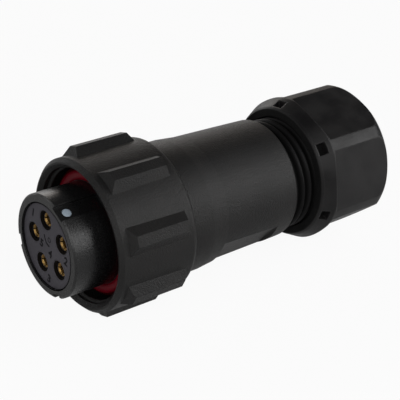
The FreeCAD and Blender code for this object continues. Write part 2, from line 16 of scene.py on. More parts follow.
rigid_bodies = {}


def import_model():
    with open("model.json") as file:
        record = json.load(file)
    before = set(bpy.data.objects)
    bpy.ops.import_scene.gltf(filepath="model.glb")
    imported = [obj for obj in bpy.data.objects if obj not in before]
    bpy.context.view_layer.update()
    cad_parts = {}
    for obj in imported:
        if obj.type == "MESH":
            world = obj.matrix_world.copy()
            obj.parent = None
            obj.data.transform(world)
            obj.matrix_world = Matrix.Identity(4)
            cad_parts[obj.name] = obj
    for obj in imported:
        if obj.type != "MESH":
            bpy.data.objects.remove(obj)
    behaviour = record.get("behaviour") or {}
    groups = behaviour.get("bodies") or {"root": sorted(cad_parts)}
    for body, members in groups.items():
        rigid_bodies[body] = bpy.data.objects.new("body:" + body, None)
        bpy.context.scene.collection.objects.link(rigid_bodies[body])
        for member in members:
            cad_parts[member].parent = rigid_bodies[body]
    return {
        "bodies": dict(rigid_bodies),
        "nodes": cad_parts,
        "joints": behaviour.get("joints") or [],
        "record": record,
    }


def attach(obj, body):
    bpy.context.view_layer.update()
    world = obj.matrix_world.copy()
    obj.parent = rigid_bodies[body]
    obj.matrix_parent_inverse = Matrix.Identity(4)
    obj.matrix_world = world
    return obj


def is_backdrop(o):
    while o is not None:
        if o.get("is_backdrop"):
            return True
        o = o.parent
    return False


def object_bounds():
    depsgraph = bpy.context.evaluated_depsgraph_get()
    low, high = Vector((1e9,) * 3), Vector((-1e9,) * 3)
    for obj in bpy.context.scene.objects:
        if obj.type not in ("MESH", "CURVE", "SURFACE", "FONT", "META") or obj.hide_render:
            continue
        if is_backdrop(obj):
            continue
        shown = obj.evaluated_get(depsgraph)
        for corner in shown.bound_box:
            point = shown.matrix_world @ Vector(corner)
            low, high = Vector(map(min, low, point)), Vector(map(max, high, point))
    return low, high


LOG = logging.getLogger("connector")
MM = 0.001
FULL_TURN = 2.0 * math.pi
QUARTER_TURN = 0.5 * math.pi

Colour = tuple[float, float, float, float]
Profile = Sequence[tuple[float, float]]
Ring = list[bmesh.types.BMVert]

WHITE: Colour = (1.0, 1.0, 1.0, 1.0)


# Node helpers

def feed(tree: bpy.types.NodeTree, socket: bpy.types.NodeSocket, value: Any) -> None:
    """Gives a node's input a plain value, or links another node's output to it.

    Args:
        tree: The node tree that holds both.
        socket: The input.
        value: A plain value, or the output to link.
    """
    if isinstance(value, bpy.types.NodeSocket):
        tree.links.new(value, socket)
    else:
        socket.default_value = value


def add_math(tree: bpy.types.NodeTree, operation: str, *values: float | bpy.types.NodeSocket,
             clamp: bool = False) -> bpy.types.NodeSocket:
    """Adds a Math node.

    Args:
        tree: The node tree to build in.
        operation: What the node works out.
        values: Its inputs in order, each a number or another node's output.
        clamp: Whether the result is kept between 0 and 1.

    Returns:
        The result.
    """
    node = tree.nodes.new("ShaderNodeMath")
    node.operation = operation
    node.use_clamp = clamp
    for socket, value in zip(node.inputs, values):
        feed(tree, socket, value)
    return node.outputs[0]


def add_blend(tree: bpy.types.NodeTree, mask: bpy.types.NodeSocket, plain: bpy.types.NodeSocket,
              other: Colour | bpy.types.NodeSocket) -> bpy.types.NodeSocket:
    """Adds a Mix node that blends one colour into another by a mask.

    Args:
        tree: The node tree to build in.
        mask: The share of the other colour, from 0 to 1.
        plain: The colour where the mask is 0.
        other: The colour where the mask is 1.

    Returns:
        The blended colour.
    """
    node = tree.nodes.new("ShaderNodeMix")
    node.data_type = "RGBA"
    for name, value in (("Factor", mask), ("A", plain), ("B", other)):
        feed(tree, node.inputs[name], value)
    return node.outputs["Result"]


def add_bump(tree: bpy.types.NodeTree, height: bpy.types.NodeSocket, depth: float,
             shader: bpy.types.Node, normal: bpy.types.NodeSocket | None = None) -> None:
    """Gives a shader a fine relief.

    Args:
        tree: The node tree to build in.
        height: The relief, from 0 to 1.
        depth: How deep it is, in millimetres.
        shader: The shader that shows it.
        normal: The normal that the relief starts from, if it isn't the mesh's own.
    """
    bump = tree.nodes.new("ShaderNodeBump")
    bump.inputs["Distance"].default_value = depth * MM
    tree.links.new(height, bump.inputs["Height"])
    if normal is not None:
        tree.links.new(normal, bump.inputs["Normal"])
    tree.links.new(bump.outputs["Normal"], shader.inputs["Normal"])


# Shared surface effects

class Effect(Enum):
    """The surface effects that more than one finish uses."""

    GRAIN = "moulded_grain"
    CLOUDING = "soft_clouding"
    EDGES = "rounded_edges"
    RECESS_SHADE = "recess_shade"


class EffectLibrary:
    """Builds each shared effect once, as a shader node group with named sockets."""

    GRAIN_DETAIL = 3.0
    CLOUD_DETAIL = 2.0
    CLOUD_LIMITS = (0.35, 0.65)
    NOISE_MIDDLE = 0.5
    ACROSS_AXIS = (0.0, 1.0, 1.0)

    def __init__(self) -> None:
        """Starts with no groups built."""
        self._groups: dict[Effect, bpy.types.NodeTree] = {}
        self._makers: dict[Effect, Callable[[bpy.types.NodeTree], None]] = {
            Effect.GRAIN: self._fill_grain,
            Effect.CLOUDING: self._fill_clouding,
            Effect.EDGES: self._fill_edges,
            Effect.RECESS_SHADE: self._fill_painted_recess,
        }

    def get(self, effect: Effect) -> bpy.types.NodeTree:
        """Gives an effect's group, making it on first use.

        Args:
            effect: The effect that a finish asks for.

        Returns:
            The node group.
        """
        if effect not in self._groups:
            tree = bpy.data.node_groups.new(effect.value, "ShaderNodeTree")
            self._makers[effect](tree)
            self._groups[effect] = tree
        return self._groups[effect]

    @staticmethod
    def _sockets(tree: bpy.types.NodeTree, takes: dict[str, tuple[str, Any]],
                 gives: dict[str, str]) -> tuple[bpy.types.Node, bpy.types.Node]:
        """Adds a group's named inputs and outputs.

        Args:
            tree: The group.
            takes: Input name to socket type and default value.
            gives: Output name to socket type.

        Returns:
            The node that gives the inputs inside the group, and the one that takes the outputs.
        """
        for name, (kind, default) in takes.items():
            socket = tree.interface.new_socket(name=name, in_out="INPUT", socket_type=kind)
            socket.default_value = default
        for name, kind in gives.items():
            tree.interface.new_socket(name=name, in_out="OUTPUT", socket_type=kind)
        return tree.nodes.new("NodeGroupInput"), tree.nodes.new("NodeGroupOutput")

    @staticmethod
    def _noise(tree: bpy.types.NodeTree, scale: bpy.types.NodeSocket,
               detail: float) -> bpy.types.NodeSocket:
        """Adds noise that stays fixed to the piece.

        Args:
            tree: The group.
            scale: How fine the noise is.
            detail: How many finer layers it has.

        Returns:
            The noise, from 0 to 1.
        """
        place = tree.nodes.new("ShaderNodeTexCoord")
        noise = tree.nodes.new("ShaderNodeTexNoise")
        noise.inputs["Detail"].default_value = detail
        tree.links.new(place.outputs["Object"], noise.inputs["Vector"])
        tree.links.new(scale, noise.inputs["Scale"])
        return noise.outputs["Fac"]

    def _fill_grain(self, tree: bpy.types.NodeTree) -> None:
        """Fine spark-eroded texture of a moulded skin: a height and a roughness value.

        Args:
            tree: The group to fill.
        """
        entry, leave = self._sockets(
            tree,
            {"Scale": ("NodeSocketFloat", 5000.0), "Roughness": ("NodeSocketFloat", 0.5),
             "Spread": ("NodeSocketFloat", 0.1)},
            {"Height": "NodeSocketFloat", "Roughness": "NodeSocketFloat"},
        )
        fine = self._noise(tree, entry.outputs["Scale"], self.GRAIN_DETAIL)
        centred = add_math(tree, "SUBTRACT", fine, self.NOISE_MIDDLE)
        rough = add_math(
            tree, "MULTIPLY_ADD", centred, entry.outputs["Spread"], entry.outputs["Roughness"])
        tree.links.new(fine, leave.inputs["Height"])
        tree.links.new(rough, leave.inputs["Roughness"])

    def _fill_clouding(self, tree: bpy.types.NodeTree) -> None:
        """Slow change of tone over a moulding: a colour between two, and where it shifts.

        Args:
            tree: The group to fill.
        """
        entry, leave = self._sockets(
            tree,
            {"Base": ("NodeSocketColor", (0.02, 0.02, 0.02, 1.0)),
             "Shift": ("NodeSocketColor", (0.03, 0.03, 0.03, 1.0)),
             "Scale": ("NodeSocketFloat", 90.0)},
            {"Color": "NodeSocketColor", "Patch": "NodeSocketFloat"},
        )
        slow = self._noise(tree, entry.outputs["Scale"], self.CLOUD_DETAIL)
        patches = tree.nodes.new("ShaderNodeMapRange")
        for name, limit in zip(("From Min", "From Max"), self.CLOUD_LIMITS):
            patches.inputs[name].default_value = limit
        tree.links.new(slow, patches.inputs["Value"])
        patch = patches.outputs["Result"]
        blend = add_blend(tree, patch, entry.outputs["Base"], entry.outputs["Shift"])
        tree.links.new(blend, leave.inputs["Color"])
        tree.links.new(patch, leave.inputs["Patch"])

    def _fill_edges(self, tree: bpy.types.NodeTree) -> None:
        """Finds the edges that a rounded normal softens: a mask that is 1 on the edge.

        Args:
            tree: The group to fill.
        """
        entry, leave = self._sockets(
            tree,
            {"Gain": ("NodeSocketFloat", 4.0), "Normal": ("NodeSocketVector", (0.0, 0.0, 0.0))},
            {"Mask": "NodeSocketFloat"},
        )
        flat = tree.nodes.new("ShaderNodeNewGeometry")
        match = tree.nodes.new("ShaderNodeVectorMath")
        match.operation = "DOT_PRODUCT"
        tree.links.new(entry.outputs["Normal"], match.inputs[0])
        tree.links.new(flat.outputs["Normal"], match.inputs[1])
        away = add_math(tree, "SUBTRACT", 1.0, match.outputs["Value"])
        mask = add_math(tree, "MULTIPLY", away, entry.outputs["Gain"], clamp=True)
        tree.links.new(mask, leave.inputs["Mask"])

    def _fill_painted_recess(self, tree: bpy.types.NodeTree) -> None:
        """Painted shade in a groove or pocket round the axis: a mask, set by distance from the
        axis, that is 1 at the bottom.

        Args:
            tree: The group to fill.
        """
        entry, leave = self._sockets(
            tree,
            {"Bottom": ("NodeSocketFloat", 0.01), "Top": ("NodeSocketFloat", 0.011)},
            {"Mask": "NodeSocketFloat"},
        )
        place = tree.nodes.new("ShaderNodeTexCoord")
        across = tree.nodes.new("ShaderNodeVectorMath")
        across.operation = "MULTIPLY"
        across.inputs[1].default_value = self.ACROSS_AXIS
        tree.links.new(place.outputs["Object"], across.inputs[0])
        radius = tree.nodes.new("ShaderNodeVectorMath")
        radius.operation = "LENGTH"
        tree.links.new(across.outputs["Vector"], radius.inputs[0])
        depth = tree.nodes.new("ShaderNodeMapRange")
        for name, value in (("Value", radius.outputs["Value"]),
                            ("From Min", entry.outputs["Bottom"]),
                            ("From Max", entry.outputs["Top"]),
                            ("To Min", 1.0), ("To Max", 0.0)):
            feed(tree, depth.inputs[name], value)
        tree.links.new(depth.outputs["Result"], leave.inputs["Mask"])


EFFECTS = EffectLibrary()


# Finishes

def new_material(name: str) -> tuple[bpy.types.Material, bpy.types.Node]:
    """Makes a node material with one Principled shader.

    Args:
        name: The material's name.

    Returns:
        The material and its shader node.
    """
    material = bpy.data.materials.new(name)
    material.use_nodes = True
    return material, material.node_tree.nodes["Principled BSDF"]


def add_effect(tree: bpy.types.NodeTree, effect: Effect, **values: Any) -> bpy.types.Node:
    """Places a shared effect in a material with its own values.

    Args:
        tree: The material's node tree.
        effect: Which effect.
        values: A value, or another node's output, for each named input.

    Returns:
        The group node.
    """
    node = tree.nodes.new("ShaderNodeGroup")
    node.node_tree = EFFECTS.get(effect)
    for name, value in values.items():
        feed(tree, node.inputs[name], value)
    return node


@dataclass(frozen=True)
class MouldedFinish:
    """A moulded plastic or rubber skin, with its lengths in millimetres."""

    name: str
    colour: Colour
    shift: Colour
    edge: Colour
    roughness: float
    specular: float
    spread: float = 0.12
    grain_scale: float = 6000.0
    grain_height: float = 0.012
    cloud_scale: float = 90.0
    edge_radius: float = 0.16
    edge_gain: float = 3.0
    edge_samples: int = 4
    coat: float = 0.0
    patch: float = 0.0
    # The recess fields paint shade. Below the first radius the colour turns to the dark recess
    # colour and the surface gets rougher, standing in for the shadow in grooves and pockets.
    painted_recess: tuple[float, float] | None = None
    painted_recess_colour: Colour = (0.0012, 0.0012, 0.0012, 1)
    painted_recess_roughness: float = 0.5

    def make(self) -> bpy.types.Material:
        """Builds the material.

        Returns:
            The finished material.
        """
        material, shader = new_material(self.name)
        tree = material.node_tree
        shader.inputs["Specular IOR Level"].default_value = self.specular
        shader.inputs["Coat Weight"].default_value = self.coat
        clouds = add_effect(
            tree, Effect.CLOUDING, Base=self.colour, Shift=self.shift, Scale=self.cloud_scale)
        grain = add_effect(
            tree, Effect.GRAIN, Scale=self.grain_scale, Roughness=self.roughness,
            Spread=self.spread)
        corner = tree.nodes.new("ShaderNodeBevel")
        corner.samples = self.edge_samples
        corner.inputs["Radius"].default_value = self.edge_radius * MM
        rounded = corner.outputs["Normal"]
        edges = add_effect(tree, Effect.EDGES, Gain=self.edge_gain, Normal=rounded)
        # The edge colour, lighter than the base on most finishes, is partly edge wear and partly
        # painted highlight along the rounded edges.
        colour = add_blend(tree, edges.outputs["Mask"], clouds.outputs["Color"], self.edge)
        roughness = grain.outputs["Roughness"]
        if self.patch:
            roughness = self._roughen(tree, roughness, clouds.outputs["Patch"], self.patch)
        # Painted shade: darkens and roughens grooves and pockets by distance from the axis.
        if self.painted_recess:
            bottom, top = self.painted_recess
            shade = add_effect(tree, Effect.RECESS_SHADE, Bottom=bottom * MM, Top=top * MM)
            deep = shade.outputs["Mask"]
            colour = add_blend(tree, deep, colour, self.painted_recess_colour)
            roughness = self._roughen(tree, roughness, deep, self.painted_recess_roughness)
        tree.links.new(colour, shader.inputs["Base Color"])
        tree.links.new(roughness, shader.inputs["Roughness"])
        add_bump(tree, grain.outputs["Height"], self.grain_height, shader, rounded)
        return material

    @staticmethod
    def _roughen(tree: bpy.types.NodeTree, roughness: bpy.types.NodeSocket,
                 mask: bpy.types.NodeSocket, amount: float) -> bpy.types.NodeSocket:
        """Makes a surface rougher by an amount where a mask is 1."""
        return add_math(tree, "MULTIPLY_ADD", mask, amount, roughness, clamp=True)


@dataclass(frozen=True)
class MetalFinish:
    """A turned or stamped metal surface, with its lengths in millimetres."""

    name: str
    colour: Colour
    roughness: float
    spread: float = 0.15
    turning_scale: float = 3500.0
    turning_height: float = 0.004
    turning_waver: float = 1.5

    def make(self) -> bpy.types.Material:
        """Builds the material, with fine turning marks along the piece's axis.

        Returns:
            The finished material.
        """
        material, shader = new_material(self.name)
        tree = material.node_tree
        shader.inputs["Base Color"].default_value = self.colour
        shader.inputs["Metallic"].default_value = 1.0
        grain = add_effect(
            tree, Effect.GRAIN, Scale=self.turning_scale, Roughness=self.roughness,
            Spread=self.spread)
        tree.links.new(grain.outputs["Roughness"], shader.inputs["Roughness"])
        place = tree.nodes.new("ShaderNodeTexCoord")
        marks = tree.nodes.new("ShaderNodeTexWave")
        marks.bands_direction = "X"
        marks.inputs["Scale"].default_value = self.turning_scale
        marks.inputs["Distortion"].default_value = self.turning_waver
        tree.links.new(place.outputs["Object"], marks.inputs["Vector"])
        add_bump(tree, marks.outputs["Fac"], self.turning_height, shader)
        return material


class Finishes:
    """Every finish on the connector, made once and handed to the pieces."""

    MOULD_GRAIN = 3900.0

    def __init__(self) -> None:
        """Makes all the materials."""
        self.housing = MouldedFinish(
            "black_moulding",
            colour=(0.0064, 0.0061, 0.0061, 1),
            shift=(0.0088, 0.0083, 0.008, 1),
            edge=(0.0085, 0.0083, 0.0081, 1),
            roughness=0.45, specular=0.24, spread=0.45, grain_scale=self.MOULD_GRAIN,
            grain_height=0.1, edge_radius=0.07).make()
        self.barrel = MouldedFinish(
            "black_barrel",
            colour=(0.0034, 0.0034, 0.0036, 1),
            shift=(0.0044, 0.0044, 0.0046, 1),
            edge=(0.012, 0.012, 0.0125, 1),
            roughness=0.3, specular=0.4, spread=0.26, grain_scale=self.MOULD_GRAIN,
            grain_height=0.035, coat=0.03).make()
        # Below a radius of 12.5 mm the nut is painted darker, as painted shade in its notches and
        # recessed faces. Its light edge colour, spread wide by the high edge gain, is a painted
        # highlight along the collar's crest and the flats' borders.
        self.nut = MouldedFinish(
            "black_nut",
            colour=(0.005, 0.0047, 0.005, 1),
            shift=(0.0095, 0.0089, 0.0091, 1),
            edge=(0.022, 0.0215, 0.0215, 1),
            roughness=0.35, specular=0.22, spread=0.2, grain_scale=self.MOULD_GRAIN,
            grain_height=0.02, cloud_scale=230.0, edge_radius=0.4, edge_gain=14.0, patch=0.13,
            painted_recess=(12.5, 12.75)).make()
        # The thread is the housing's plastic made darker and less glossy, with near-black valleys.
        # This is painted shade for the thread's deep grooves and the shadow of the nut.
        self.thread = MouldedFinish(
            "black_thread_painted_shade",
            colour=(0.0052, 0.005, 0.0052, 1),
            shift=(0.0064, 0.0062, 0.0064, 1),
            edge=(0.01, 0.01, 0.01, 1),
            roughness=0.36, specular=0.09, grain_height=0.008, edge_radius=0.08,
            painted_recess=(10.3, 10.85), painted_recess_colour=(0.0006, 0.0006, 0.0006, 1)).make()
        self.insulator = MouldedFinish(
            "violet_grey_insulator",
            colour=(0.05, 0.0472, 0.055, 1),
            shift=(0.057, 0.054, 0.0625, 1),
            edge=(0.08, 0.076, 0.088, 1),
            roughness=0.5, specular=0.1, grain_scale=self.MOULD_GRAIN, edge_radius=0.1).make()
        # Near-black finish for the funnels in the contact mouths: painted shade inside the holes.
        self.throat_shade = MouldedFinish(
            "painted_shade_contact_throat",
            colour=(0.0018, 0.0012, 0.0008, 1),
            shift=(0.003, 0.002, 0.0012, 1),
            edge=(0.006, 0.004, 0.002, 1),
            roughness=0.6, specular=0.04, grain_height=0.004, edge_radius=0.05).make()
        # The seal's body is the lip's red silicone darkened: painted shade for the shadow deep in
        # the coupling ring's mouth.
        self.shaded_seal = MouldedFinish(
            "red_silicone_painted_shade",
            colour=(0.022, 0.0003, 0.001, 1),
            shift=(0.03, 0.0004, 0.0015, 1),
            edge=(0.03, 0.0005, 0.002, 1),
            roughness=0.7, specular=0.02, grain_height=0.003, edge_radius=0.2).make()
        self.lip = MouldedFinish(
            "red_silicone",
            colour=(0.11, 0.001, 0.006, 1),
            shift=(0.135, 0.0014, 0.008, 1),
            edge=(0.15, 0.003, 0.012, 1),
            roughness=0.4, specular=0.1, grain_height=0.003, edge_radius=0.05).make()
        self.rubber = MouldedFinish(
            "grey_rubber",
            colour=(0.04, 0.04, 0.041, 1),
            shift=(0.05, 0.05, 0.052, 1),
            edge=(0.06, 0.06, 0.062, 1),
            roughness=0.75, specular=0.3, grain_height=0.02).make()
        self.wax_plastic = MouldedFinish(
            "ivory_plastic",
            colour=(0.62, 0.6, 0.54, 1),
            shift=(0.66, 0.64, 0.58, 1),
            edge=(0.7, 0.68, 0.62, 1),
            roughness=0.4, specular=0.4).make()
        # Dark ink for the numbers and moulding marks, also used for the painted shadow line at the
        # barrel's rim.
        self.ink_and_shadow = MouldedFinish(
            "dark_engraving_and_painted_shadow",
            colour=(0.005, 0.0047, 0.006, 1),
            shift=(0.006, 0.0057, 0.007, 1),
            edge=(0.008, 0.008, 0.009, 1),
            roughness=0.7, specular=0.1).make()
        self.paint = MouldedFinish(
            "pale_blue_paint",
            colour=(0.29, 0.35, 0.41, 1),
            shift=(0.34, 0.4, 0.46, 1),
            edge=(0.42, 0.48, 0.54, 1),
            roughness=0.35, specular=0.4, grain_height=0.002, edge_radius=0.08).make()
        self.gold = MetalFinish("gold_plate", (0.32, 0.2, 0.068, 1), roughness=0.5).make()
        self.steel = MetalFinish("spring_steel", (0.56, 0.56, 0.57, 1), roughness=0.3).make()


# Mesh helpers

def add_object(name: str, data: bpy.types.ID) -> bpy.types.Object:
    """Puts a mesh, a text, a lamp or a camera in the scene.

    Args:
        name: The object's name.
        data: What it holds.

    Returns:
        The new object.
    """
    thing = bpy.data.objects.new(name, data)
    bpy.context.collection.objects.link(thing)
    return thing


def link_mesh(name: str, mesh: bpy.types.Mesh, material: bpy.types.Material,
              smooth: bool = True) -> bpy.types.Object:
    """Puts a mesh in the scene with its finish.

    Args:
        name: The piece's name.
        mesh: Its mesh.
        material: Its finish.
        smooth: Whether its faces shade smoothly.

    Returns:
        The new object.
    """
    piece = add_object(name, mesh)
    piece.data.materials.append(material)
    if smooth:
        piece.data.shade_smooth()
    return piece


def link_form(name: str, form: bmesh.types.BMesh, material: bpy.types.Material,
              smooth: bool = True) -> bpy.types.Object:
    """Turns a built form's faces outwards and puts it in the scene with its finish.

    Args:
        name: The piece's name.
        form: Its form, which is freed.
        material: Its finish.
        smooth: Whether its faces shade smoothly.

    Returns:
        The new object.
    """
    bmesh.ops.recalc_face_normals(form, faces=form.faces)
    mesh = bpy.data.meshes.new(name)
    form.to_mesh(mesh)
    form.free()
    return link_mesh(name, mesh, material, smooth)


def dress(frame: dict[str, Any], nodes: Iterable[str], material: bpy.types.Material) -> None:
    """Gives carried-over pieces of the frame their finish.

    Args:
        nodes: The pieces' names.
        material: The finish.
    """
    for node in nodes:
        for slot in frame["nodes"][node].material_slots:
            slot.material = material
        LOG.info("dressed %s", node)


def polar(x: float, radius: float, angle: float) -> Vector:
    """A point by its place along X, distance from the axis and angle in radians from +Z."""
    return Vector((x, -radius * math.sin(angle), radius * math.cos(angle)))


def placement(spot: Vector, right: Vector, up: Vector, out: Vector) -> Matrix:
    """The matrix that moves to a spot and turns X, Y and Z to right, up and out."""
    return Matrix.Translation(spot) @ Matrix((right, up, out)).transposed().to_4x4()


def one_on(row: list[Any]) -> list[Any]:
    """The same closed row, begun one item later."""
    return row[1:] + row[:1]


def bridge(form: bmesh.types.BMesh, rings: list[Ring], closed: bool = False) -> None:
    """Joins each ring of points to the next by a band of faces.

    Args:
        form: The form being built.
        rings: The rings, all with the same number of points.
        closed: Whether the last ring is joined to the first.
    """
    for here, following in zip(rings, one_on(rings) if closed else rings[1:]):
        for corners in zip(here, one_on(here), one_on(following), following):
            form.faces.new(corners)


def cap_ends(form: bmesh.types.BMesh, rings: list[Ring]) -> None:
    """Closes the first and the last ring with a face each."""
    form.faces.new(rings[0][::-1])
    form.faces.new(rings[-1])


def turned_form(profile: Profile, sides: int, centre: Vector) -> bmesh.types.BMesh:
    """Turns a closed profile into a ring, about a line along X.

    Args:
        profile: Places along the line and distances from it, in millimetres.
        sides: The number of steps in the turn.
        centre: A point that the line goes through, in metres.

    Returns:
        The form.
    """
    form = bmesh.new()
    rings = [[form.verts.new(centre + polar(x * MM, radius * MM, FULL_TURN * side / sides))
              for side in range(sides)] for x, radius in profile]
    bridge(form, rings, closed=True)
    return form


@dataclass(frozen=True)
class ThreadForm:
    """A helical ridge wound on a cylinder about the connector's axis, in millimetres.

    The crest is nearer the axis than the root where the ridge is inside a bore. The shares
    of crest and foot are of the pitch, the shoulder's is of the height, and the fade at each
    end is in turns.
    """

    start: float
    end: float
    root: float
    crest: float
    pitch: float
    crest_share: float
    foot_share: float
    full_root: bool = False
    shoulder_share: float = 0.93
    foot_margin: float = 1.002
    root_lift: float = 0.015
    sunk: float = 0.06
    fade: float = 0.4
    least_lift: float = 0.05
    steps: int = 72

    def _section(self, lift: float) -> list[tuple[float, float]]:
        """The ridge's cross-section as offsets along the axis and radii.

        Args:
            lift: How much of its full height the ridge has here, from 0 to 1.

        Returns:
            The corners, from the front foot over the crest to the rear foot.
        """
        height = (self.crest - self.root) * lift
        outwards = math.copysign(1.0, self.crest - self.root)
        sunk, floor = self.root - outwards * self.sunk, self.root + outwards * self.root_lift
        half, shoulder = self.root + height / 2.0, self.root + self.shoulder_share * height
        foot, top = self.foot_share * self.pitch / 2.0, self.crest_share * self.pitch / 2.0
        middle = (foot + top) / 2.0
        edge = self.pitch / 2.0 if self.full_root else foot * self.foot_margin
        return [
            (-edge, sunk), (-edge, floor), (-foot, floor), (-middle, half), (-top, shoulder),
            (0.0, self.root + height),
            (top, shoulder), (middle, half), (foot, floor), (edge, floor), (edge, sunk),
        ]

    def _lift(self, run: float, turns: float) -> float:
        """How much of its full height the ridge has, as it rises and fades at its ends.

        Args:
            run: The turns wound so far.
            turns: The turns in all.

        Returns:
            The share of the height, up to 1.
        """
        share = max(0.0, min(1.0, run / self.fade, (turns - run) / self.fade))
        return self.least_lift + (1.0 - self.least_lift) * math.sin(QUARTER_TURN * share)

    def build(self, name: str, material: bpy.types.Material) -> bpy.types.Object:
        """Winds the ridge.

        Args:
            name: The piece's name.
            material: Its finish.

        Returns:
            The piece, as one closed strip.
        """
        form = bmesh.new()
        travel = self.end - self.start - self.pitch
        turns = travel / self.pitch
        count = round(turns * self.steps)
        rings = []
        for step in range(count + 1):
            share = step / count
            run = share * turns
            centre = self.start + self.pitch / 2.0 + share * travel
            rings.append([form.verts.new(polar((centre + along) * MM, radius * MM, FULL_TURN * run))
                          for along, radius in self._section(self._lift(run, turns))])
        bridge(form, rings)
        cap_ends(form, rings)
        return link_form(name, form, material)


# Sub-assemblies

@dataclass
class PlugFront:
    """Keyed barrel with its index dot, in millimetres and degrees."""

    frame: dict[str, Any]
    finishes: Finishes
    key_angle: float = 25.3
    key_floor: float = 8.7
    dot_place: float = 1.9
    dot_radius: float = 0.85
    dot_height: float = 0.12
    dot_rings: int = 5
    dot_sides: int = 32

    def build(self) -> None:
        """Dresses the barrel and adds the dot."""
        dress(self.frame, ["plug_shell"], self.finishes.barrel)
        self._index_dot()

    def _dot_point(self, share: float, turn: float) -> Vector:
        """A point on the top of the dot.

        Args:
            share: How far out it is, as a share of the dot's radius.
            turn: Its angle round the dot, in radians.

        Returns:
            The point.
        """
        angle = math.radians(self.key_angle)
        across = Vector((0.0, -math.cos(angle), -math.sin(angle)))
        flat = Vector((math.cos(turn), 0.0, 0.0)) + across * math.sin(turn)
        rise = self.dot_height * math.sqrt(max(0.0, 1.0 - share * share))
        above = polar(self.dot_place * MM, (self.key_floor + rise) * MM, angle)
        return above + flat * (share * self.dot_radius * MM)

    def _index_dot(self) -> None:
        """A low round drop of paint on the floor of the main keyway."""
        form = bmesh.new()
        rings = []
        for ring in range(1, self.dot_rings + 1):
            share = math.sin(QUARTER_TURN * ring / self.dot_rings)
            rings.append([form.verts.new(self._dot_point(share, FULL_TURN * side / self.dot_sides))
                          for side in range(self.dot_sides)])
        peak = form.verts.new(self._dot_point(0.0, 0.0))
        for here, after in zip(rings[0], one_on(rings[0])):
            form.faces.new((peak, here, after))
        bridge(form, rings)
        form.faces.new(rings[-1][::-1])
        dot = link_form("index_dot", form, self.finishes.paint)
        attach(dot, "connector_body")
        LOG.info("added index_dot")


@dataclass(frozen=True)
class FaceNumber:
    """One contact number on the insulator's face, in millimetres and degrees."""

    text: str
    radius: float
    angle: float


